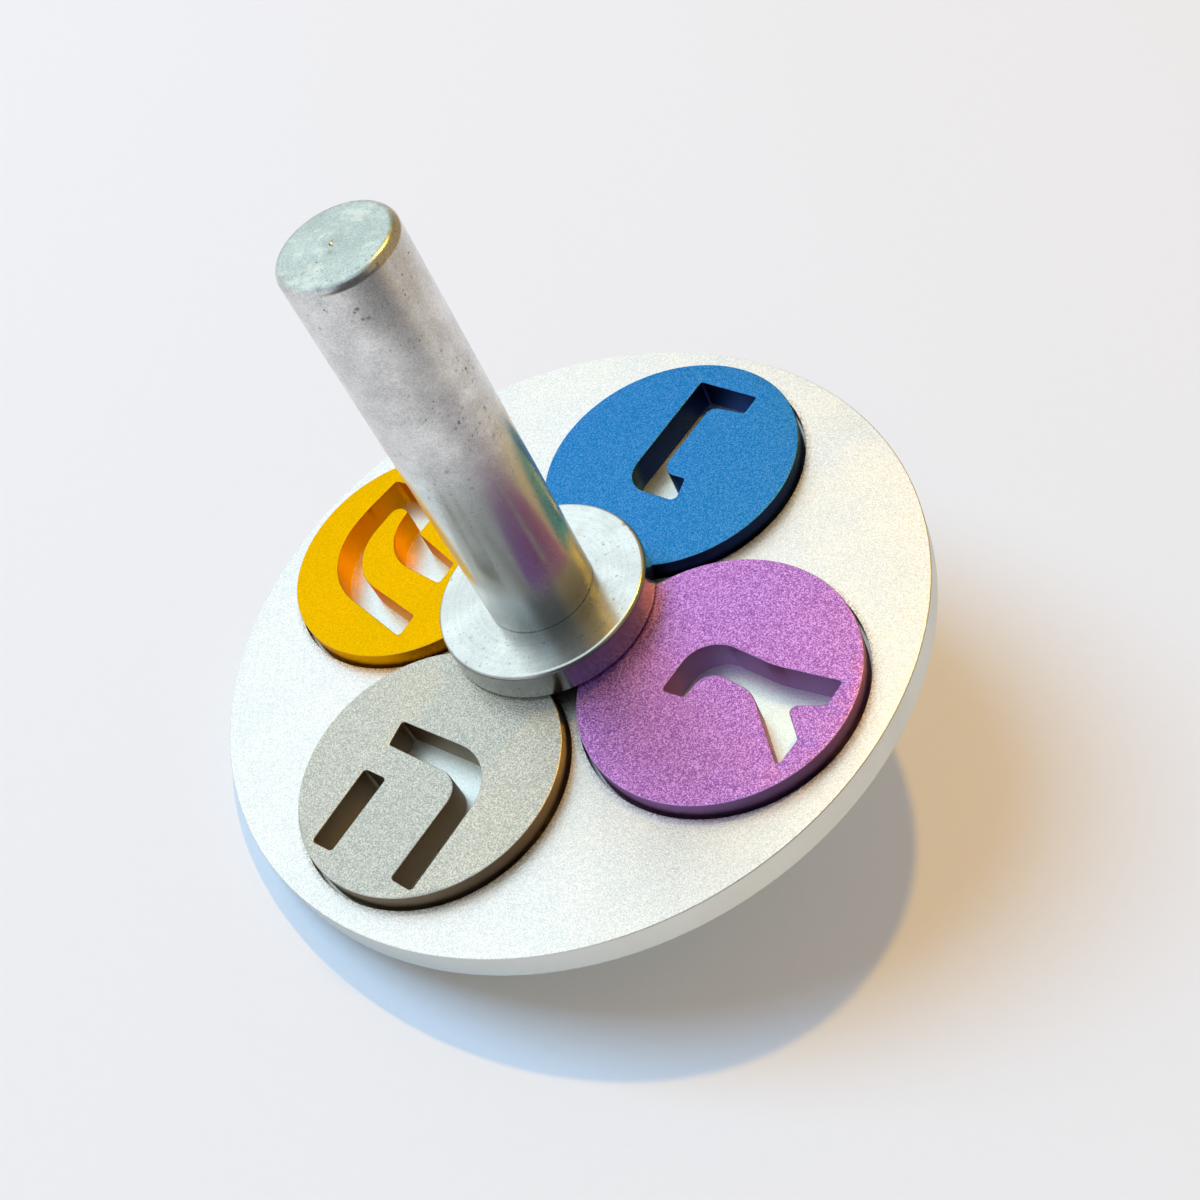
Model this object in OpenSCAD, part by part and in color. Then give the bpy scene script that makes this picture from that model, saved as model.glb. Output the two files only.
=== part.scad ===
// Dreidel: a spinning top with a flat round body, letter discs let into its face,
// a collar that holds the discs down, a long stem and a turned point.
// The origin is the end of the point, and +Z runs up the spin axis.

/* [Letter discs] */
// Diameter of a letter disc
disc_d = 25; // [18:0.5:32]
// Thickness of a letter disc
disc_t = 3; // [2:0.1:5]
// How far a disc stands above the face of the body
disc_proud = 1.65; // [0.4:0.05:2]

/* [Body] */
// Metal between two neighbouring pockets, at its narrowest
pocket_land = 0.85; // [0.5:0.05:4]
// Gap all round between a disc and the wall of its pocket
pocket_gap = 0.3; // [0.05:0.05:0.6]
// Metal left under a pocket
pocket_floor = 1.85; // [0.8:0.05:5]
// Width of the rim outside the pockets
rim_w = 2.25; // [1:0.05:10]
// Rounding of the rim's lower edge
rim_edge_r = 0.4; // [0.1:0.1:0.8]

/* [Collar] */
// How far the collar laps over each disc
collar_lap = 3.65; // [2:0.05:6]
// Thickness of the collar
collar_t = 3.2; // [2:0.05:8]
// Rounding of the collar's upper edge
collar_edge_r = 0.4; // [0.1:0.1:0.8]
// Chamfer of the collar's lower edge
collar_chamfer = 0.3; // [0.1:0.1:0.8]

/* [Stem] */
// Diameter of the stem
stem_d = 10; // [8.5:0.5:14]
// Length of the stem above the collar
stem_len = 40.75; // [25:0.25:60]
// Rounding of the stem's upper edge
stem_edge_r = 0.8; // [0.2:0.1:1.5]
// Diameter of the turning centre's mark in the stem's end
centre_mark_d = 0.8; // [0.4:0.1:1.2]
// Depth of the tapped hole in the stem's foot
stem_hole_depth = 12; // [6:0.5:20]

/* [Stud] */
// Diameter of the stud that draws the pieces together
stud_d = 6; // [4:0.5:7]
// Chamfer at the stud's ends
stud_chamfer = 0.6; // [0.2:0.1:1]
// Space left past each end of the stud
stud_end_gap = 0.5; // [0.2:0.1:1]
// Gap all round between the stud and a tapped hole
thread_gap = 0.1; // [0.05:0.01:0.2]
// Gap all round between the stud and a plain hole
hole_gap = 0.2; // [0.1:0.05:0.4]

/* [Tip] */
// Height of the tip below the body
tip_h = 13.2; // [9:0.1:20]
// Diameter of the tip against the body
tip_d = 18; // [14:0.5:24]
// Height of the straight band at the top of the tip
tip_band = 1.4; // [0.5:0.1:3]
// Radius of the nose that the top spins on
nose_r = 1.2; // [0.6:0.1:2]

/* [Hidden] */
$fn = 96;

// Broken edge on the turned and milled pieces
edge_break = 0.1;
// How far a cut runs past the face that it opens
overrun = 1;
// Straight pieces in a rounded corner
arc_steps = 12;
// Depth of the tapped hole in the tip, as a share of the tip's height
tip_hole_share = 0.5;
// Depth of the turning centre's mark, as a share of its diameter
centre_mark_share = 0.4;

// The body's sizes follow the discs that it holds
disc_r = disc_d / 2;
pocket_r = disc_r + pocket_gap;
pocket_depth = disc_t - disc_proud;
ring_r = (2 * pocket_r + pocket_land) / sqrt(2);
body_r = ring_r + pocket_r + rim_w;
body_t = pocket_floor + pocket_depth;

// The collar, stem, stud and tip
collar_r = ring_r - disc_r + collar_lap;
stem_r = stem_d / 2;
stud_r = stud_d / 2;
plain_hole_r = stud_r + hole_gap;
tapped_hole_r = stud_r + thread_gap;
tip_r = tip_d / 2;
tip_hole_depth = tip_h * tip_hole_share;

// Heights, from the end of the point upwards
body_z = tip_h;
pocket_z = body_z + pocket_floor;
face_z = body_z + body_t;
collar_z = face_z + disc_proud;
stem_z = collar_z + collar_t;
stud_z = tip_h - tip_hole_depth + stud_end_gap;
stud_len = stem_z + stem_hole_depth - stud_end_gap - stud_z;

// Where each disc sits round the axis, in degrees
nun_angle = 45;
gimel_angle = 315;
he_angle = 225;
shin_angle = 135;
// Turns a letter so that its top faces the axis
letter_turn = 90;

// Colours
blasted_silver = "#E6E8E4";
polished_silver = "#C9CFCE";
anodised_blue = "#3484C5";
anodised_purple = "#B57ABF";
anodised_grey = "#C0C6BC";
anodised_orange = "#EEB903";
stud_grey = "#7C8084";

// Letter outlines: the corners in order, each as x, y and corner radius, in shares of the disc's radius
nun_shares = [
    [0.23, -0.78, 0.02],
    [-0.30, -0.78, 0.02],
    [-0.30, -0.61, 0.02],
    [0.00, -0.58, 0.08],
    [0.00, 0.11, 0.12],
    [-0.23, 0.10, 0.03],
    [-0.29, 0.31, 0.05],
    [0.23, 0.32, 0.22]
];
gimel_shares = [
    [0.31, -0.82, 0.025],
    [0.11, -0.82, 0.025],
    [0.00, -0.58, 0.05],
    [-0.19, -0.79, 0.025],
    [-0.42, -0.78, 0.025],
    [0.00, -0.30, 0.25],
    [0.03, 0.10, 0.15],
    [-0.23, 0.11, 0.02],
    [-0.25, 0.29, 0.03],
    [0.26, 0.29, 0.26],
    [0.235, -0.32, 0.80]
];
he_arch_shares = [
    [0.54, -0.785, 0.03],
    [0.34, -0.785, 0.03],
    [0.32, 0.05, 0.19],
    [-0.42, 0.03, 0.025],
    [-0.46, 0.23, 0.025],
    [0.50, 0.29, 0.38]
];
he_leg_shares = [
    [-0.225, -0.83, 0.03],
    [-0.42, -0.84, 0.03],
    [-0.455, -0.21, 0.03],
    [-0.245, -0.20, 0.03]
];
shin_shares = [
    [-0.525, -0.655, 0.04],
    [-0.20, -0.692, 0.60],
    [0.48, -0.70, 0.64],
    [0.69, 0.47, 0.03],
    [0.49, 0.46, 0.03],
    [0.35, -0.47, 0.46],
    [-0.328, -0.46, 0.08],
    [-0.304, -0.32, 0.02],
    [0.12, -0.316, 0.43],
    [0.165, 0.445, 0.03],
    [-0.035, 0.435, 0.03],
    [-0.16, -0.065, 0.025],
    [-0.32, -0.065, 0.025],
    [-0.39, 0.47, 0.03],
    [-0.60, 0.47, 0.03]
];

function unit(v) = v / norm(v);

function turned(v, angle) = [
    v.x * cos(angle) - v.y * sin(angle),
    v.x * sin(angle) + v.y * cos(angle)
];

// Points of the corner at here, on the way from before to after, rounded by here.z
function corner_points(before, here, after) =
    let (
        point = [here.x, here.y],
        back = unit([before.x, before.y] - point),
        ahead = unit([after.x, after.y] - point),
        half = acos(back * ahead) / 2,
        centre = point + unit(back + ahead) * here.z / sin(half),
        start = point + back * here.z / tan(half) - centre,
        turn = sign(cross(ahead, back)) * (180 - 2 * half)
    )
    here.z == 0
        ? [point]
        : [for (i = [0:arc_steps]) centre + turned(start, turn * i / arc_steps)];

// A closed outline from its corners
function outline(corners) =
    let (count = len(corners))
    [
        for (i = [0:count - 1])
            each corner_points(corners[(i + count - 1) % count], corners[i], corners[(i + 1) % count])
    ];

// A turned solid from half its section: the corners as radius, height and rounding
module turning(section) {
    rotate_extrude()
        polygon(outline(section));
}

// A disc in its pocket, with its top towards the axis
module letter_disc(angle, finish, letter_shares) {
    color(finish)
        rotate([0, 0, angle])
            translate([ring_r, 0, pocket_z])
                rotate([0, 0, letter_turn])
                    difference() {
                        turning([
                            [0, 0, 0],
                            [disc_r, 0, 0],
                            [disc_r, disc_t - edge_break, 0],
                            [disc_r - edge_break, disc_t, 0],
                            [0, disc_t, 0]
                        ]);
                        translate([0, 0, -overrun])
                            linear_extrude(disc_t + 2 * overrun)
                                for (shares = letter_shares)
                                    polygon(outline(shares * disc_r));
                    }
}

module letter_disc_nun() {
    letter_disc(nun_angle, anodised_blue, [nun_shares]);
}

module letter_disc_gimel() {
    letter_disc(gimel_angle, anodised_purple, [gimel_shares]);
}

module letter_disc_he() {
    letter_disc(he_angle, anodised_grey, [he_arch_shares, he_leg_shares]);
}

module letter_disc_shin() {
    letter_disc(shin_angle, anodised_orange, [shin_shares]);
}

module body_plate() {
    color(blasted_silver)
        difference() {
            translate([0, 0, body_z])
                turning([
                    [plain_hole_r, 0, 0],
                    [body_r, 0, rim_edge_r],
                    [body_r, body_t - edge_break, 0],
                    [body_r - edge_break, body_t, 0],
                    [plain_hole_r, body_t, 0]
                ]);
            for (angle = [nun_angle, gimel_angle, he_angle, shin_angle])
                rotate([0, 0, angle])
                    translate([ring_r, 0, pocket_z])
                        cylinder(r = pocket_r, h = pocket_depth + overrun);
        }
}

module collar() {
    color(polished_silver)
        translate([0, 0, collar_z])
            turning([
                [plain_hole_r, 0, 0],
                [collar_r - collar_chamfer, 0, 0],
                [collar_r, collar_chamfer, 0],
                [collar_r, collar_t, collar_edge_r],
                [plain_hole_r, collar_t, 0]
            ]);
}

module stem() {
    centre_mark_r = centre_mark_d / 2;
    centre_mark_depth = centre_mark_d * centre_mark_share;
    color(polished_silver)
        translate([0, 0, stem_z])
            turning([
                [tapped_hole_r, 0, 0],
                [stem_r - edge_break, 0, 0],
                [stem_r, edge_break, 0],
                [stem_r, stem_len, stem_edge_r],
                [centre_mark_r, stem_len, 0],
                [0, stem_len - centre_mark_depth, 0],
                [0, stem_hole_depth, 0],
                [tapped_hole_r, stem_hole_depth, 0]
            ]);
}

module center_stud() {
    color(stud_grey)
        translate([0, 0, stud_z])
            turning([
                [0, 0, 0],
                [stud_r - stud_chamfer, 0, 0],
                [stud_r, stud_chamfer, 0],
                [stud_r, stud_len - stud_chamfer, 0],
                [stud_r - stud_chamfer, stud_len, 0],
                [0, stud_len, 0]
            ]);
}

module tip() {
    // The cone leaves the band's lower edge and meets the round nose on a tangent
    cone_h = tip_h - tip_band;
    reach = norm([tip_r, cone_h - nose_r]);
    cone_angle = atan2(cone_h - nose_r, tip_r) - acos(nose_r / reach);
    nose_points = [
        for (i = [0:arc_steps])
            let (angle = -90 + (cone_angle + 90) * i / arc_steps)
            [nose_r * cos(angle), nose_r + nose_r * sin(angle)]
    ];
    color(polished_silver)
        rotate_extrude()
            polygon(concat(nose_points, [
                [tip_r, cone_h],
                [tip_r, tip_h - edge_break],
                [tip_r - edge_break, tip_h],
                [tapped_hole_r, tip_h],
                [tapped_hole_r, tip_h - tip_hole_depth],
                [0, tip_h - tip_hole_depth]
            ]));
}

body_plate();
letter_disc_nun();
letter_disc_gimel();
letter_disc_he();
letter_disc_shin();
collar();
stem();
center_stud();
tip();
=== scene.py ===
"""Looks of the dreidel: blasted and anodised discs in a blasted plate, with a turned stem, collar and tip.

The part keeps its own upright frame. The floor is the plane that the resting top leans on,
touched by the nose of the tip and by the rim, so it is tilted in this frame.
"""

import math

import bmesh
import bpy
from mathutils import Matrix, Vector


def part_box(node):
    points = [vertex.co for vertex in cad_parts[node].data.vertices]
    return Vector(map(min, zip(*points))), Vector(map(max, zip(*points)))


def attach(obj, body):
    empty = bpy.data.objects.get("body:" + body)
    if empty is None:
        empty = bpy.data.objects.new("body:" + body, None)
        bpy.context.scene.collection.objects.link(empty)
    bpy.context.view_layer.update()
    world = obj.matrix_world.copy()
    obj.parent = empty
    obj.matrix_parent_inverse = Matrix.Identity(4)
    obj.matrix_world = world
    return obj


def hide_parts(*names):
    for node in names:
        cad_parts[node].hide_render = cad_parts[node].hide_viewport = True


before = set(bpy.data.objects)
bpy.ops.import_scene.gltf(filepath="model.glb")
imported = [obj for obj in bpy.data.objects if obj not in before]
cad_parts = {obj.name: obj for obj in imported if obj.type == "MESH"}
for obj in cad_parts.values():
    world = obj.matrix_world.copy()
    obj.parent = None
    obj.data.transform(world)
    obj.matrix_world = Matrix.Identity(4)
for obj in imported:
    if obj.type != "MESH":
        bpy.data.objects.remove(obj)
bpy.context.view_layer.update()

MM = 0.001

# Sizes that the solids share with the scene
NOSE_RADIUS = 1.2 * MM
RIM_EDGE_RADIUS = 0.4 * MM
EDGE_BREAK = 0.1 * MM
COLLAR_EDGE_RADIUS = 0.4 * MM
COLLAR_CHAMFER = 0.3 * MM
STEM_EDGE_RADIUS = 0.8 * MM
STEM_HOLE_DEPTH = 12 * MM
CENTRE_MARK_RADIUS = 0.4 * MM
CENTRE_MARK_DEPTH = 0.32 * MM
PLAIN_HOLE_RADIUS = 3.2 * MM
TAPPED_HOLE_RADIUS = 3.1 * MM

# Rounding of the letters' edges and of the pockets' rims
LETTER_EDGE = 0.10 * MM
POCKET_EDGE = 0.04 * MM

# Painted shade with painted gold glints on the plate beside each disc, standing in for the plate's
# reflection of the dark disc wall
DISC_REFLECTION_SHADE = (0.30, 0.20, 0.08)
DISC_REFLECTION_WIDTH = 1.0 * MM
# Painted shade on the pockets' walls, and a painted cool reflection that makes their floors cooler and
# brighter
POCKET_WALL_SHADE = (0.16, 0.12, 0.08)
FLOOR_REFLECTION_TINT = (1.06, 1.17, 1.17)

# Past the pocket's wall its painted shade fades out, measured from the disc's edge
POCKET_FADE_START = 0.4 * MM
POCKET_FADE_END = 0.6 * MM

# Bare metal on rubbed edges, and the pale scuffs and dark pits of turned metal
BARE = (0.80, 0.81, 0.79)
SCUFFED = (0.88, 0.89, 0.82)
PITTED = (0.14, 0.14, 0.15)
# How far the outlines of the pits stray
PIT_STRAY = 0.35 * MM
# The stem is sounder below this height, and darkened by painted shade just above its foot
SOUND_HEIGHT = 38 * MM
SOUND_BLEND = 6 * MM
FOOT_SHADE_START = 1 * MM
FOOT_SHADE_END = 6 * MM

# Fineness of the patterns in blasted and turned metal, in cells to the metre
BLASTED_GRAIN = 6000
BLASTED_DIMPLES = 6400
BLASTED_FLECKS = 9000
BLASTED_CLOUDS = 140
BLASTED_WEAR = 420
DISC_REFLECTION_GRAINS = 5200
TURNED_RINGS = 3600
TURNED_GRAIN = 6500
TURNED_HAZE = 230
TURNED_SCUFFS = 620
DRAWN_LINES = 3800
PIT_OUTLINES = 3000
PIT_CLUSTERS = 260
# How far drawn lines are stretched along the bar, and how deep the marks of turning are
DRAWN_STRETCH = 50
TURNED_DEPTH = 0.0006 * MM

# Keeps the level part of a vector
ACROSS = (1, 1, 0)

# Steps across a rounded edge, round a turned piece, and in each of its rounded corners
EDGE_STEPS = 3
ROUND_STEPS = 160
CORNER_STEPS = 10

# Width of the border round a piece's outside that keeps the edge of its solid
PLATE_BORDER = 1 * MM
DISC_BORDER = 0.3 * MM
# Faces that bend less than the first angle are joined, and edges that bend more than the second stay sharp
FLAT_ANGLE = math.radians(0.3)
SHARP_ANGLE = math.radians(38)
# Points this close are one, also along the seam of a turned piece, and a top is level to within the last
WELD = 0.0001 * MM
SEAM_WELD = 0.0002 * MM
LEVEL = 0.001 * MM

# The photograph's camera, level above the floor and aimed close to the middle of the body's face
CAMERA_AZIMUTH = 16.77
CAMERA_ELEVATION = 46.0
CAMERA_DISTANCE = 154.0 * MM
CAMERA_AIM_X = -0.35 * MM
CAMERA_AIM_Y = 1.40 * MM
CAMERA_LENS = 50.35
CAMERA_SENSOR = 36.0
CAMERA_SHIFT_X = 0.0386
CAMERA_SHIFT_Y = 0.0078

# The direction in which the floor rises, in degrees round the spin axis from +X
FLOOR_RISE = 190.1
FLOOR_RADIUS = 420 * MM
FLOOR_FADE_START = 170 * MM
# On the camera's side the floor is clear to the studio sooner
FRONT_FADE_START = 60 * MM
FRONT_FADE_END = 130 * MM

# Lamps: height and bearing above the floor, in degrees, then distance, size, power and colour
WINDOW = dict(height=52, bearing=170, distance=1.6, size=1.1, power=22.3, colour=(0.325, 0.65, 1.0))
LAMP = dict(height=71.5, bearing=92, distance=3.0, size=0.14, power=27.9, colour=(1.0, 0.55, 0.04))
AMBIENT = (0.465, 0.398, 0.348)
# The pale studio, with its duller ceiling, its bright side by the window and its dim side behind the camera
PALE = (0.88, 0.88, 0.89)
CEILING = (0.62, 0.74, 0.84)
GLOW = (1.20, 1.30, 1.34)
GLOW_AZIMUTH = 220
GLOW_ELEVATION = 56
DIM = (0.10, 0.10, 0.10)
DIM_AZIMUTH = 10
WARM = (0.40, 0.29, 0.15)
WARM_AZIMUTH = 103


def add(tree, kind, inputs=None, **settings):
    """Adds a node, sets its fields, and sets its inputs, where a socket given as a value is linked."""
    made = tree.nodes.new(kind)
    for field, value in settings.items():
        setattr(made, field, value)
    for socket, value in (inputs or {}).items():
        if isinstance(value, bpy.types.NodeSocket):
            tree.links.new(value, made.inputs[socket])
        else:
            made.inputs[socket].default_value = value
    return made


def sum_of(tree, operation, first, second):
    """The result of a sum on two numbers, either of which may be a socket."""
    return add(tree, "ShaderNodeMath", {0: first, 1: second}, operation=operation).outputs[0]


def vector_sum(tree, operation, first, second):
    """The result of a sum on two vectors, either of which may be a socket."""
    return add(tree, "ShaderNodeVectorMath", {0: first, 1: second}, operation=operation).outputs[0]


def dot_of(tree, first, second):
    return add(tree, "ShaderNodeVectorMath", {0: first, 1: second}, operation="DOT_PRODUCT").outputs["Value"]


def length_of(tree, vector):
    return add(tree, "ShaderNodeVectorMath", {0: vector}, operation="LENGTH").outputs["Value"]


def upwards(tree):
    """How far a face looks up, from -1 to 1."""
    normal = add(tree, "ShaderNodeNewGeometry").outputs["Normal"]
    return add(tree, "ShaderNodeSeparateXYZ", {0: normal}).outputs["Z"]


def ramp(tree, value, start, end, low=0.0, high=1.0):
    """Carries a value from the range start to end over to the range low to high, with soft ends."""
    return add(tree, "ShaderNodeMapRange", {
        "Value": value, "From Min": start, "From Max": end, "To Min": low, "To Max": high,
    }, interpolation_type="SMOOTHSTEP").outputs["Result"]


def noise(tree, place, scale, detail=2.0, roughness=0.5):
    return add(tree, "ShaderNodeTexNoise", {
        "Vector": place, "Scale": scale, "Detail": detail, "Roughness": roughness,
    }).outputs["Fac"]


def tinted(tree, kind, share, first, second):
    """Two colours joined by a Mix node of the given kind."""
    made = add(tree, "ShaderNodeMix", {"Factor": share}, data_type="RGBA", blend_type=kind)
    for socket, colour in ((made.inputs[6], first), (made.inputs[7], second)):
        if isinstance(colour, bpy.types.NodeSocket):
            tree.links.new(colour, socket)
        else:
            socket.default_value = (*colour, 1)
    return made.outputs[2]


def new_material(name):
    material = bpy.data.materials.new(name)
    material.use_nodes = True
    tree = material.node_tree
    return material, tree, tree.nodes["Principled BSDF"]


def direction(azimuth, elevation):
    """The direction from the object to a viewer at an azimuth and elevation, in degrees."""
    azimuth, elevation = math.radians(azimuth), math.radians(elevation)
    return Vector((
        math.sin(azimuth) * math.cos(elevation),
        -math.cos(azimuth) * math.cos(elevation),
        math.sin(elevation),
    ))


def floor_plane():
    """The normal of the plane that touches both nose and rim, and the point where the nose touches it."""
    plate_low, plate_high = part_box("body_plate")
    rim = plate_high.x - RIM_EDGE_RADIUS
    rise = plate_low.z + RIM_EDGE_RADIUS - NOSE_RADIUS
    drop = NOSE_RADIUS - RIM_EDGE_RADIUS
    lean = math.atan2(rise, rim) + math.asin(drop / math.hypot(rim, rise))
    bearing = math.radians(FLOOR_RISE)
    normal = Vector((
        -math.sin(lean) * math.cos(bearing),
        -math.sin(lean) * math.sin(bearing),
        math.cos(lean),
    ))
    return normal, Vector((0, 0, NOSE_RADIUS)) - NOSE_RADIUS * normal


def look(origin, target, up):
    """The matrix of a camera or lamp at origin that faces target, with up upwards in its picture."""
    back = (origin - target).normalized()
    right = up.cross(back).normalized()
    turn = Matrix((right, back.cross(right), back)).transposed()
    return Matrix.Translation(origin) @ turn.to_4x4()


def make_camera(normal):
    face_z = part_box("body_plate")[1].z
    aim = Vector((CAMERA_AIM_X, CAMERA_AIM_Y, face_z))
    back = direction(CAMERA_AZIMUTH, CAMERA_ELEVATION)
    data = bpy.data.cameras.new("photo_camera")
    data.lens = CAMERA_LENS
    data.sensor_width = CAMERA_SENSOR
    data.shift_x = CAMERA_SHIFT_X
    data.shift_y = CAMERA_SHIFT_Y
    data.clip_start = 1 * MM
    camera = bpy.data.objects.new("photo_camera", data)
    camera.matrix_world = look(aim + back * CAMERA_DISTANCE, aim, normal)
    bpy.context.collection.objects.link(camera)
    bpy.context.scene.camera = camera
    return camera


def pale_floor():
    """White card, which fades into the studio all round."""
    material, tree, shader = new_material("pale_floor")
    place = add(tree, "ShaderNodeTexCoord").outputs["Object"]
    cloud = noise(tree, place, 900, 3.0, 0.6)
    colour = tinted(tree, "MIX", cloud, (0.865, 0.863, 0.872), (0.885, 0.883, 0.890))
    tree.links.new(colour, shader.inputs["Base Color"])
    shader.inputs["Roughness"].default_value = 0.9
    shader.inputs["Specular IOR Level"].default_value = 0.1
    reach = length_of(tree, place)
    ahead = dot_of(tree, place, direction(DIM_AZIMUTH, 0))
    fade = sum_of(
        tree, "MAXIMUM",
        ramp(tree, reach, FLOOR_FADE_START, FLOOR_RADIUS),
        ramp(tree, ahead, FRONT_FADE_START, FRONT_FADE_END))
    clear = add(tree, "ShaderNodeBsdfTransparent").outputs[0]
    mixed = add(tree, "ShaderNodeMixShader", {0: fade, 1: shader.outputs[0], 2: clear}).outputs[0]
    tree.links.new(mixed, tree.nodes["Material Output"].inputs["Surface"])
    return material


def make_floor(normal, touch):
    mesh = bpy.data.meshes.new("floor")
    shape = bmesh.new()
    bmesh.ops.create_circle(shape, cap_ends=True, radius=FLOOR_RADIUS, segments=96)
    turn = Vector((0, 0, 1)).rotation_difference(normal).to_matrix().to_4x4()
    bmesh.ops.transform(shape, matrix=Matrix.Translation(touch) @ turn, verts=shape.verts)
    shape.to_mesh(mesh)
    shape.free()
    floor = bpy.data.objects.new("floor", mesh)
    bpy.context.collection.objects.link(floor)
    mesh.materials.append(pale_floor())


def make_lamp(name, normal, touch, camera, height, bearing, distance, size, power, colour):
    right = camera.matrix_world.col[0].xyz
    across = (right - right.dot(normal) * normal).normalized()
    away = normal.cross(across)
    height, bearing = math.radians(height), math.radians(bearing)
    level = math.cos(bearing) * across + math.sin(bearing) * away
    towards = math.cos(height) * level + math.sin(height) * normal
    data = bpy.data.lights.new(name, "AREA")
    data.shape = "DISK"
    data.size = size
    data.energy = power
    data.color = colour
    lamp = bpy.data.objects.new(name, data)
    lamp.matrix_world = look(touch + towards * distance, touch, away)
    bpy.context.collection.objects.link(lamp)
    return lamp


def make_world():
    """A pale studio that camera and metal see, dim behind the camera, and plain light for the rest."""
    world = bpy.data.worlds.new("studio")
    world.use_nodes = True
    bpy.context.scene.world = world
    tree = world.node_tree
    tree.nodes.clear()
    path = add(tree, "ShaderNodeLightPath")
    seen = sum_of(tree, "MAXIMUM", path.outputs["Is Camera Ray"], path.outputs["Is Glossy Ray"])
    seen = sum_of(tree, "MAXIMUM", seen, path.outputs["Is Transmission Ray"])
    heading = add(tree, "ShaderNodeTexCoord").outputs["Generated"]
    height = add(tree, "ShaderNodeSeparateXYZ", {0: heading}).outputs["Z"]
    studio = tinted(tree, "MIX", ramp(tree, height, 0.30, 0.62), PALE, CEILING)
    by_window = dot_of(tree, heading, direction(GLOW_AZIMUTH, GLOW_ELEVATION))
    studio = tinted(tree, "MIX", ramp(tree, by_window, 0.56, 0.95), studio, GLOW)
    level = vector_sum(tree, "MULTIPLY", heading, ACROSS)
    level = add(tree, "ShaderNodeVectorMath", {0: level}, operation="NORMALIZE").outputs[0]
    steep = add(tree, "ShaderNodeMath", {0: height}, operation="ABSOLUTE").outputs[0]
    shown = sum_of(tree, "MULTIPLY", ramp(tree, steep, 0.84, 0.97, 1.0, 0.0), path.outputs["Is Glossy Ray"])
    low = sum_of(tree, "MULTIPLY", shown, ramp(tree, height, -0.05, 0.25, 1.0, 0.0))
    high = sum_of(tree, "MULTIPLY", shown, ramp(tree, height, 0.74, 0.88, 1.0, 0.0))
    for colour, azimuth, start, end, where in (
        (WARM, WARM_AZIMUTH, 0.15, 0.70, shown),
        (DIM, DIM_AZIMUTH, 0.35, 0.90, low),
        (DIM, DIM_AZIMUTH, 0.70, 0.95, high),
    ):
        facing = dot_of(tree, level, direction(azimuth, 0))
        share = sum_of(tree, "MULTIPLY", ramp(tree, facing, start, end), where)
        studio = tinted(tree, "MIX", share, studio, colour)
    plain = add(tree, "ShaderNodeBackground", {"Color": (*AMBIENT, 1), "Strength": 1.0}).outputs[0]
    shown = add(tree, "ShaderNodeBackground", {"Color": studio, "Strength": 1.0}).outputs[0]
    mixed = add(tree, "ShaderNodeMixShader", {0: seen, 1: plain, 2: shown}).outputs[0]
    add(tree, "ShaderNodeOutputWorld", {"Surface": mixed})


def by_pocket(tree, place):
    """How close a place on the plate is to a pocket, for the painted shade beside a disc, how deep it lies
    in one, and if its wall rings it, for the wall's painted shade.
    """
    disc_low, disc_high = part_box("letter_disc_nun")
    offset = (disc_low.x + disc_high.x) / 2
    radius = (disc_high.x - disc_low.x) / 2
    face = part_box("body_plate")[1].z
    folded = add(tree, "ShaderNodeVectorMath", {0: place}, operation="ABSOLUTE").outputs[0]
    folded = vector_sum(tree, "SUBTRACT", folded, (offset, offset, 0))
    reach = length_of(tree, vector_sum(tree, "MULTIPLY", folded, ACROSS))
    height = add(tree, "ShaderNodeSeparateXYZ", {0: place}).outputs["Z"]
    deep = ramp(tree, height, disc_low.z, face, 1.0, 0.0)
    near = ramp(tree, reach, radius, radius + DISC_REFLECTION_WIDTH, 1.0, 0.0)
    near = sum_of(tree, "MULTIPLY", near, sum_of(tree, "SUBTRACT", 1.0, deep))
    within = ramp(tree, reach, radius + POCKET_FADE_START, radius + POCKET_FADE_END, 1.0, 0.0)
    return near, deep, within


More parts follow.
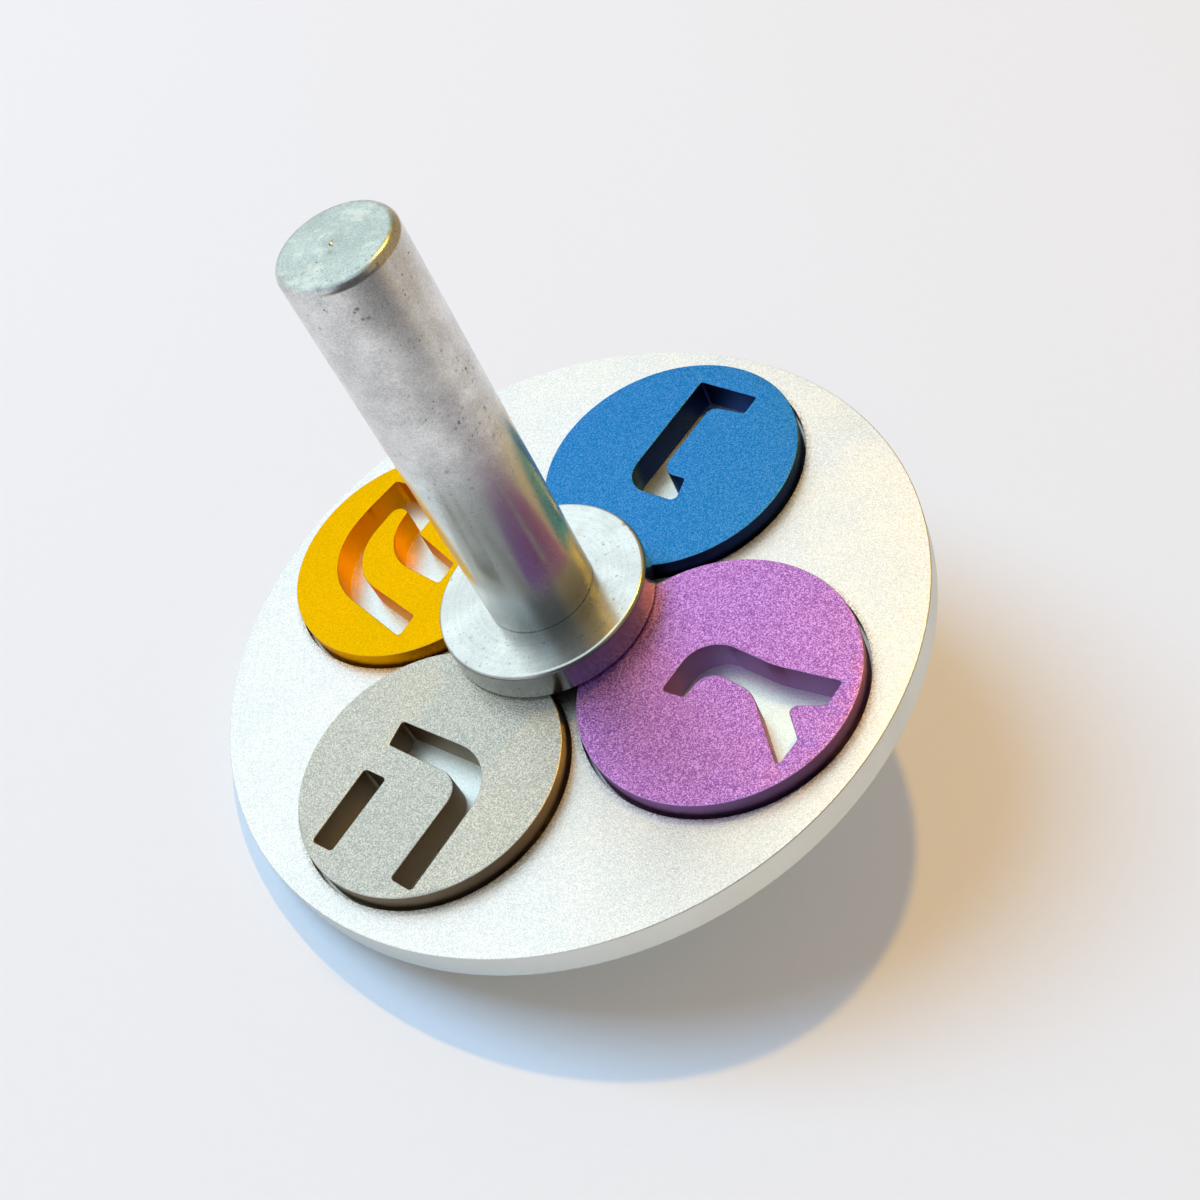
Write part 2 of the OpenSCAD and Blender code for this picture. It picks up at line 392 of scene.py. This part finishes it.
def blasted_metal(
        name, colour, wall_shade_colour, edge_colour, fleck,
        painted_glint=0.0, dent=0.018, roughness=0.39, pockets=False):
    """Bead-blasted metal: small dents, tinted flecks with painted glints, walls in painted shade and
    reflection, rubbed edges, painted shade by pockets.

    The glint is how much white the brightest flecks add to the colour, a painted highlight for the grain's
    specular glints.
    """
    material, tree, shader = new_material(name)
    place = add(tree, "ShaderNodeTexCoord").outputs["Object"]
    grain = noise(tree, place, BLASTED_GRAIN, 2.0, 0.55)
    dimples = add(tree, "ShaderNodeTexVoronoi", {"Vector": place, "Scale": BLASTED_DIMPLES})
    height = sum_of(tree, "ADD", grain, dimples.outputs["Distance"])
    bump = add(tree, "ShaderNodeBump", {"Height": height, "Distance": dent * MM, "Strength": 1.0})
    tree.links.new(bump.outputs["Normal"], shader.inputs["Normal"])

    flatness = add(tree, "ShaderNodeMath", {0: upwards(tree)}, operation="ABSOLUTE").outputs[0]
    wall = ramp(tree, flatness, 0.20, 0.40, 1.0, 0.0)
    edge = sum_of(
        tree, "MULTIPLY",
        ramp(tree, flatness, 0.20, 0.45),
        ramp(tree, flatness, 0.90, 0.985, 1.0, 0.0))

    speckle = add(tree, "ShaderNodeTexNoise", {"Vector": place, "Scale": BLASTED_FLECKS, "Detail": 1.5})
    contrast = fleck
    if pockets:
        near, deep, within = by_pocket(tree, place)
        contrast = sum_of(tree, "MULTIPLY", ramp(tree, deep, 0.0, 1.0, 1.0, 0.6), fleck)
    shade = ramp(tree, speckle.outputs["Fac"], 0.32, 0.68, -1.0, 1.0)
    shade = sum_of(tree, "ADD", sum_of(tree, "MULTIPLY", shade, contrast), 1.0)
    cloud = noise(tree, place, BLASTED_CLOUDS, 3.0)
    shade = sum_of(tree, "ADD", shade, ramp(tree, cloud, 0.3, 0.7, -0.03, 0.03))
    face = add(tree, "ShaderNodeVectorMath", {0: colour, "Scale": shade}, operation="SCALE").outputs[0]
    tint = add(tree, "ShaderNodeVectorMath", {
        0: speckle.outputs["Color"], 1: [1.4 * fleck] * 3, 2: [1 - 0.7 * fleck] * 3,
    }, operation="MULTIPLY_ADD").outputs[0]
    face = vector_sum(tree, "MULTIPLY", face, tint)
    # Painted highlight: the brightest flecks add white, standing in for specular glints
    painted_spark = ramp(tree, speckle.outputs["Fac"], 0.40, 0.70, 0.0, painted_glint)
    face = vector_sum(tree, "ADD", face, painted_spark)
    if pockets:
        # Painted shade and painted gold glints on the plate beside each disc, for its reflection of the dark
        # disc wall
        disc_reflection = ramp(tree, noise(tree, place, DISC_REFLECTION_GRAINS, 2.0, 0.6), 0.44, 0.58)
        disc_reflection = sum_of(tree, "MULTIPLY", near, disc_reflection)
        face = tinted(tree, "MIX", sum_of(tree, "MULTIPLY", disc_reflection, 0.9), face, DISC_REFLECTION_SHADE)
        # Painted reflection: the floors of the pockets and letters are made cooler and brighter
        face = tinted(tree, "MULTIPLY", deep, face, FLOOR_REFLECTION_TINT)
        # Painted shade on the pockets' walls, fading out past them
        wall_shade_colour = tinted(tree, "MIX", within, wall_shade_colour, POCKET_WALL_SHADE)
    # Upright faces take the wall colour, painted shade and painted reflection
    face = tinted(tree, "MIX", wall, face, wall_shade_colour)
    worn = ramp(tree, noise(tree, place, BLASTED_WEAR, 2.0), 0.35, 0.65, 0.15, 0.6)
    face = tinted(tree, "MIX", sum_of(tree, "MULTIPLY", edge, worn), face, edge_colour)
    tree.links.new(face, shader.inputs["Base Color"])
    rough = ramp(tree, cloud, 0.3, 0.7, roughness - 0.04, roughness + 0.04)
    tree.links.new(rough, shader.inputs["Roughness"])
    shader.inputs["Metallic"].default_value = 1.0
    shader.inputs["Specular Tint"].default_value = (*[0.5 + 0.5 * part for part in colour], 1)
    return material


def pitting(tree, place):
    """Where turned metal is pitted: clusters of dots in three sizes, with straying outlines."""
    wander = add(tree, "ShaderNodeTexNoise", {"Vector": place, "Scale": PIT_OUTLINES, "Detail": 2.0})
    strayed = add(tree, "ShaderNodeVectorMath", {
        0: wander.outputs["Color"], 1: [PIT_STRAY] * 3, 2: place,
    }, operation="MULTIPLY_ADD").outputs[0]
    dots = 0.0
    for scale, lowest in ((900, 0.80), (1500, 0.66), (2600, 0.55)):
        cells = add(tree, "ShaderNodeTexVoronoi", {"Vector": strayed, "Scale": scale})
        dot = ramp(tree, cells.outputs["Distance"], 0.08, 0.34, 1.0, 0.0)
        chance = add(tree, "ShaderNodeSeparateColor", {0: cells.outputs["Color"]}).outputs[0]
        dot = sum_of(tree, "MULTIPLY", dot, ramp(tree, chance, lowest, 1.0))
        dots = sum_of(tree, "MAXIMUM", dot, dots)
    cluster = ramp(tree, noise(tree, place, PIT_CLUSTERS, 4.0, 0.65), 0.42, 0.58)
    return sum_of(tree, "MULTIPLY", dots, cluster)


def turned_metal(
        name, colour, painted_end_colour, roughness, rings=1.0, lines=0.0,
        stains=0.06, mottle=0.6, pits=0.0, scuffs=0.0, sound=None, foot=None):
    """Turned metal: rings or drawn lines, hazy stains, scuffed ends, dark pits, and ends in a painted
    reflection colour.

    Pits are fewer below the sound height, and just above the foot height painted shade darkens the metal.
    """
    material, tree, shader = new_material(name)
    place = add(tree, "ShaderNodeTexCoord").outputs["Object"]
    part = add(tree, "ShaderNodeSeparateXYZ", {0: place}).outputs
    flat = add(tree, "ShaderNodeCombineXYZ", {"X": part["X"], "Y": part["Y"]}).outputs[0]
    section = add(tree, "ShaderNodeCombineXYZ", {"X": length_of(tree, flat), "Y": part["Z"]}).outputs[0]
    ring = noise(tree, section, TURNED_RINGS, 3.0, 0.7)
    grain = noise(tree, place, TURNED_GRAIN, 2.0, 0.6)
    drawn = vector_sum(tree, "MULTIPLY", place, (1, 1, 1 / DRAWN_STRETCH))
    line = noise(tree, drawn, DRAWN_LINES, 3.0, 0.6)
    height = sum_of(tree, "ADD", sum_of(tree, "MULTIPLY", ring, rings), sum_of(tree, "MULTIPLY", grain, 0.4))
    height = sum_of(tree, "ADD", height, sum_of(tree, "MULTIPLY", line, lines))
    bump = add(tree, "ShaderNodeBump", {"Height": height, "Distance": TURNED_DEPTH, "Strength": 1.0})
    tree.links.new(bump.outputs["Normal"], shader.inputs["Normal"])

    worn = 1.0
    if sound is not None:
        worn = ramp(tree, part["Z"], sound - SOUND_BLEND, sound + SOUND_BLEND, 0.35, 1.0)
    haze = noise(tree, place, TURNED_HAZE, 6.0, 0.70)
    shade = sum_of(
        tree, "ADD",
        ramp(tree, haze, 0.32, 0.68, -1.5 * stains, 0.5 * stains),
        ramp(tree, grain, 0.3, 0.7, -mottle * stains, mottle * stains))
    shade = sum_of(tree, "ADD", sum_of(tree, "MULTIPLY", shade, worn), 1.0)
    pit = sum_of(tree, "MULTIPLY", pitting(tree, place), sum_of(tree, "MULTIPLY", worn, pits))
    end = ramp(tree, upwards(tree), 0.6, 0.9)
    # Upward-facing ends take their own colour, a painted reflection set apart from the sides
    face = tinted(tree, "MIX", end, colour, painted_end_colour)
    turning = ramp(tree, ring, 0.35, 0.65, 1 - 0.10 * rings, 1 + 0.05 * rings)
    turning = add(tree, "ShaderNodeMix", {"Factor": end, 2: 1.0, 3: turning}).outputs[0]
    shade = sum_of(tree, "MULTIPLY", shade, turning)
    if foot is not None:
        # Painted shade just above the foot, where the stem meets the collar
        foot_shade = ramp(tree, part["Z"], foot + FOOT_SHADE_START, foot + FOOT_SHADE_END, 0.55, 1.0)
        shade = sum_of(tree, "MULTIPLY", shade, foot_shade)
    face = add(tree, "ShaderNodeVectorMath", {0: face, "Scale": shade}, operation="SCALE").outputs[0]
    scuff = ramp(tree, noise(tree, place, TURNED_SCUFFS, 5.0, 0.75), 0.50, 0.64)
    scuff = sum_of(tree, "MULTIPLY", sum_of(tree, "MULTIPLY", scuff, end), scuffs)
    face = tinted(tree, "MIX", scuff, face, SCUFFED)
    face = tinted(tree, "MIX", pit, face, PITTED)
    tree.links.new(face, shader.inputs["Base Color"])
    rough = ramp(tree, haze, 0.3, 0.7, roughness + 0.05, roughness - 0.04)
    rough = sum_of(tree, "ADD", rough, sum_of(tree, "MULTIPLY", sum_of(tree, "MAXIMUM", pit, scuff), 0.2))
    tree.links.new(rough, shader.inputs["Roughness"])
    shader.inputs["Metallic"].default_value = 1.0
    return material


def finished(shape, name, material):
    """A piece from a bmesh, with soft normals that keep its flat faces flat."""
    mesh = bpy.data.meshes.new(name)
    bmesh.ops.recalc_face_normals(shape, faces=shape.faces)
    shape.to_mesh(mesh)
    shape.free()
    mesh.materials.clear()
    mesh.materials.append(material)
    mesh.polygons.foreach_set("use_smooth", [True] * len(mesh.polygons))
    mesh.set_sharp_from_angle(angle=SHARP_ANGLE)
    piece = bpy.data.objects.new(name, mesh)
    bpy.context.collection.objects.link(piece)
    weighted = piece.modifiers.new("flat_faces", "WEIGHTED_NORMAL")
    weighted.keep_sharp = True
    weighted.weight = 100
    return settled(piece)


def settled(piece):
    """Turns an object's evaluated shape into its plain mesh, and drops its modifiers."""
    graph = bpy.context.evaluated_depsgraph_get()
    mesh = bpy.data.meshes.new_from_object(
        piece.evaluated_get(graph), preserve_all_data_layers=True, depsgraph=graph)
    mesh.name = piece.name
    piece.modifiers.clear()
    piece.data = mesh
    return piece


def stands_for(piece, node):
    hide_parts(node)
    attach(piece, "root")


def outline_of(caps):
    """The lines round a flat top, and for each of their points the directions that lead inwards."""
    within = set(caps)
    outline = []
    sides = {}
    for face in caps:
        for loop in face.loops:
            if all(other in within for other in loop.edge.link_faces):
                continue
            line = (loop.vert, loop.link_loop_next.vert)
            along = (line[1].co - line[0].co).normalized()
            outline.append(line)
            for vert in line:
                sides.setdefault(vert, []).append(Vector((-along.y, along.x, 0)))
    return outline, sides


def rounded_row(shape, vert, sides, top, edge):
    """Sinks a point of a top's outline, and adds the points that lead from it over the rounded edge."""
    inwards = sum(sides, Vector()).normalized()
    inwards = inwards / max(inwards.dot(sides[0]), 0.5)
    row = [vert]
    for step in range(1, EDGE_STEPS + 1):
        turn = math.pi / 2 * step / EDGE_STEPS
        place = vert.co + inwards * edge * (1 - math.cos(turn))
        place.z = top - edge * (1 - math.sin(turn))
        row.append(shape.verts.new(place))
    vert.co.z = top - edge
    return row


def softened_copy(node, material, edge, border):
    """A copy of a blasted CAD piece whose upper edges are rounded, apart from its outer border."""
    shape = bmesh.new()
    shape.from_mesh(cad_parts[node].data)
    bmesh.ops.remove_doubles(shape, verts=shape.verts, dist=WELD)
    bmesh.ops.dissolve_limit(shape, angle_limit=FLAT_ANGLE, verts=shape.verts, edges=shape.edges)
    low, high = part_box(node)
    middle = (low + high) / 2
    reach = (high.x - low.x) / 2 - border
    top = high.z
    caps = [face for face in shape.faces if all(abs(vert.co.z - top) < LEVEL for vert in face.verts)]
    outline, sides = outline_of(caps)
    bmesh.ops.delete(shape, geom=caps, context="FACES")
    rows = {}
    for vert in sides:
        if (vert.co - middle).xy.length < reach:
            rows[vert] = rounded_row(shape, vert, sides[vert], top, edge)
        else:
            rows[vert] = [vert] * (EDGE_STEPS + 1)
    flat = []
    for first, second in outline:
        for step in range(EDGE_STEPS):
            if rows[first][step] is not rows[first][step + 1]:
                shape.faces.new((
                    rows[first][step], rows[second][step], rows[second][step + 1], rows[first][step + 1]))
        flat.append(shape.edges.get((rows[first][EDGE_STEPS], rows[second][EDGE_STEPS])))
    bmesh.ops.triangle_fill(shape, use_beauty=True, edges=flat, normal=(0, 0, 1))
    stands_for(finished(shape, "blasted_" + node, material), node)


def turning_tree():
    """Geometry nodes that round a section's corners and turn it about the spin axis."""
    tree = bpy.data.node_groups.new("turned_piece", "GeometryNodeTree")
    sockets = tree.interface
    sockets.new_socket("Section", in_out="INPUT", socket_type="NodeSocketGeometry")
    sockets.new_socket("Round steps", in_out="INPUT", socket_type="NodeSocketInt")
    sockets.new_socket("Corner steps", in_out="INPUT", socket_type="NodeSocketInt")
    sockets.new_socket("Material", in_out="INPUT", socket_type="NodeSocketMaterial")
    sockets.new_socket("Piece", in_out="OUTPUT", socket_type="NodeSocketGeometry")
    given = add(tree, "NodeGroupInput").outputs
    rounding = add(tree, "GeometryNodeInputNamedAttribute", {"Name": "rounding"}, data_type="FLOAT")
    section = add(tree, "GeometryNodeMeshToCurve", {"Mesh": given["Section"]}).outputs["Curve"]
    section = add(tree, "GeometryNodeFilletCurve", {
        "Curve": section, "Count": given["Corner steps"], "Radius": rounding.outputs["Attribute"],
        "Limit Radius": True,
    }, mode="POLY").outputs["Curve"]
    count = add(tree, "GeometryNodeAttributeDomainSize", {
        "Geometry": section,
    }, component="CURVE").outputs["Point Count"]
    columns = add(tree, "ShaderNodeMath", {0: given["Round steps"], 1: 1.0}, operation="ADD").outputs[0]
    rows = add(tree, "ShaderNodeMath", {0: count, 1: 1.0}, operation="ADD").outputs[0]
    sheet = add(tree, "GeometryNodeMeshGrid", {"Vertices X": columns, "Vertices Y": rows}).outputs["Mesh"]
    index = add(tree, "GeometryNodeInputIndex").outputs[0]
    column = add(tree, "ShaderNodeMath", {
        0: add(tree, "ShaderNodeMath", {0: index, 1: rows}, operation="DIVIDE").outputs[0],
    }, operation="FLOOR").outputs[0]
    row = add(tree, "ShaderNodeMath", {0: index, 1: rows}, operation="MODULO").outputs[0]
    row = add(tree, "ShaderNodeMath", {0: row, 1: count}, operation="MODULO").outputs[0]
    place = add(tree, "GeometryNodeInputPosition").outputs[0]
    point = add(tree, "GeometryNodeSampleIndex", {
        "Geometry": section, "Index": row,
    }, data_type="FLOAT_VECTOR", domain="POINT")
    tree.links.new(place, point.inputs["Value"])
    point = add(tree, "ShaderNodeSeparateXYZ", {0: point.outputs["Value"]}).outputs
    share = add(tree, "ShaderNodeMath", {0: column, 1: given["Round steps"]}, operation="DIVIDE").outputs[0]
    angle = add(tree, "ShaderNodeMath", {0: share, 1: math.tau}, operation="MULTIPLY").outputs[0]
    spun = add(tree, "ShaderNodeCombineXYZ", {"X": point["X"], "Z": point["Z"]}).outputs[0]
    spun = add(tree, "ShaderNodeVectorRotate", {
        "Vector": spun, "Angle": angle,
    }, rotation_type="Z_AXIS").outputs[0]
    piece = add(tree, "GeometryNodeSetPosition", {"Geometry": sheet, "Position": spun}).outputs[0]
    piece = add(tree, "GeometryNodeMergeByDistance", {
        "Geometry": piece, "Distance": SEAM_WELD,
    }).outputs[0]
    piece = add(tree, "GeometryNodeRealizeInstances", {"Geometry": piece}).outputs[0]
    piece = add(tree, "GeometryNodeSetMaterial", {
        "Geometry": piece, "Material": given["Material"],
    }).outputs[0]
    add(tree, "NodeGroupOutput", {"Piece": piece})
    return tree


def turned_piece(tree, node, material, corners):
    """A turned piece from the corners of half its section, each as radius, height and rounding."""
    name = "turned_" + node
    section = bpy.data.meshes.new(name + "_section")
    count = len(corners)
    section.from_pydata(
        [(radius, 0, height) for radius, height, rounding in corners],
        [(i, (i + 1) % count) for i in range(count)], [])
    rounding = section.attributes.new("rounding", "FLOAT", "POINT")
    rounding.data.foreach_set("value", [corner[2] for corner in corners])
    piece = bpy.data.objects.new(name, section)
    bpy.context.collection.objects.link(piece)
    nodes = piece.modifiers.new("turning", "NODES")
    nodes.node_group = tree
    values = {"Round steps": ROUND_STEPS, "Corner steps": CORNER_STEPS, "Material": material}
    for socket in tree.interface.items_tree:
        if socket.in_out == "INPUT" and socket.name in values:
            nodes[socket.identifier] = values[socket.name]
    settled(piece)
    shape = bmesh.new()
    shape.from_mesh(piece.data)
    bmesh.ops.dissolve_degenerate(shape, edges=shape.edges, dist=WELD)
    bpy.data.objects.remove(piece)
    stands_for(finished(shape, name, material), node)


def dress(node, material):
    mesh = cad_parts[node].data
    mesh.materials.clear()
    mesh.materials.append(material)


bpy.context.scene.view_settings.view_transform = "Standard"
floor_normal, floor_touch = floor_plane()
photo_camera = make_camera(floor_normal)
make_floor(floor_normal, floor_touch)
window = make_lamp("window", floor_normal, floor_touch, photo_camera, **WINDOW)
# Metal shows the studio's bright side in place of the window
window.visible_glossy = False
make_lamp("lamp", floor_normal, floor_touch, photo_camera, **LAMP)
make_world()

# The plate's rim wall takes a warm grey, a painted reflection of the shaded floor
blasted_plate = blasted_metal(
    "blasted_plate", (0.765, 0.80, 0.805), (0.74, 0.73, 0.66), BARE, 0.14, dent=0.011, pockets=True)
softened_copy("body_plate", blasted_plate, POCKET_EDGE, PLATE_BORDER)
# Each disc: node, material, fleck, painted glint, colour, wall colour in painted shade and reflection, edge
# colour
for node, slot, fleck, painted_glint, colour, wall, edge in (
    ("letter_disc_nun", "anodised_blue", 0.12, 0.08,
     (0.008, 0.191, 0.513), (0.024, 0.041, 0.14), (0.10, 0.26, 0.46)),
    ("letter_disc_gimel", "anodised_purple", 0.23, 0.26,
     (0.369, 0.129, 0.514), (0.30, 0.15, 0.32), (0.56, 0.34, 0.54)),
    ("letter_disc_he", "anodised_grey", 0.24, 0.08,
     (0.484, 0.494, 0.444), (0.28, 0.20, 0.13), (0.58, 0.56, 0.50)),
    ("letter_disc_shin", "anodised_orange", 0.12, 0.0,
     (0.76, 0.435, 0.0005), (0.92, 0.38, 0.0005), (0.86, 0.56, 0.05)),
):
    softened_copy(
        node, blasted_metal(slot, colour, wall, edge, fleck, painted_glint), LETTER_EDGE, DISC_BORDER)

turning = turning_tree()
collar_low, collar_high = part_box("collar")
# The collar's sides are painted dark, a painted reflection of the dim room, and its top pale and cool, a
# painted reflection too
turned_collar = turned_metal(
    "turned_collar", (0.39, 0.39, 0.38), (0.70, 0.75, 0.73), 0.20, rings=0.6, stains=0.10, pits=0.6)
turned_piece(turning, "collar", turned_collar, [
    (PLAIN_HOLE_RADIUS, collar_low.z, 0),
    (collar_high.x - COLLAR_CHAMFER, collar_low.z, 0),
    (collar_high.x, collar_low.z + COLLAR_CHAMFER, 0),
    (collar_high.x, collar_high.z, COLLAR_EDGE_RADIUS),
    (PLAIN_HOLE_RADIUS, collar_high.z, 0),
])
stem_low, stem_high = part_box("stem")
# The stem's end takes a darker, cooler painted reflection colour
turned_stem = turned_metal(
    "turned_stem", (0.72, 0.72, 0.71), (0.49, 0.58, 0.545), 0.24,
    rings=0.4, lines=5.0, stains=0.12, mottle=1.1, pits=0.8, scuffs=0.4, sound=SOUND_HEIGHT, foot=stem_low.z)
turned_piece(turning, "stem", turned_stem, [
    (TAPPED_HOLE_RADIUS, stem_low.z, 0),
    (stem_high.x - EDGE_BREAK, stem_low.z, 0),
    (stem_high.x, stem_low.z + EDGE_BREAK, 0),
    (stem_high.x, stem_high.z, STEM_EDGE_RADIUS),
    (CENTRE_MARK_RADIUS, stem_high.z, 0),
    (0, stem_high.z - CENTRE_MARK_DEPTH, 0),
    (0, stem_low.z + STEM_HOLE_DEPTH, 0),
    (TAPPED_HOLE_RADIUS, stem_low.z + STEM_HOLE_DEPTH, 0),
])
dress("tip", turned_metal("turned_tip", (0.66, 0.67, 0.66), (0.66, 0.67, 0.66), 0.24))
dress("center_stud", turned_metal("stud_steel", (0.35, 0.36, 0.37), (0.35, 0.36, 0.37), 0.30))
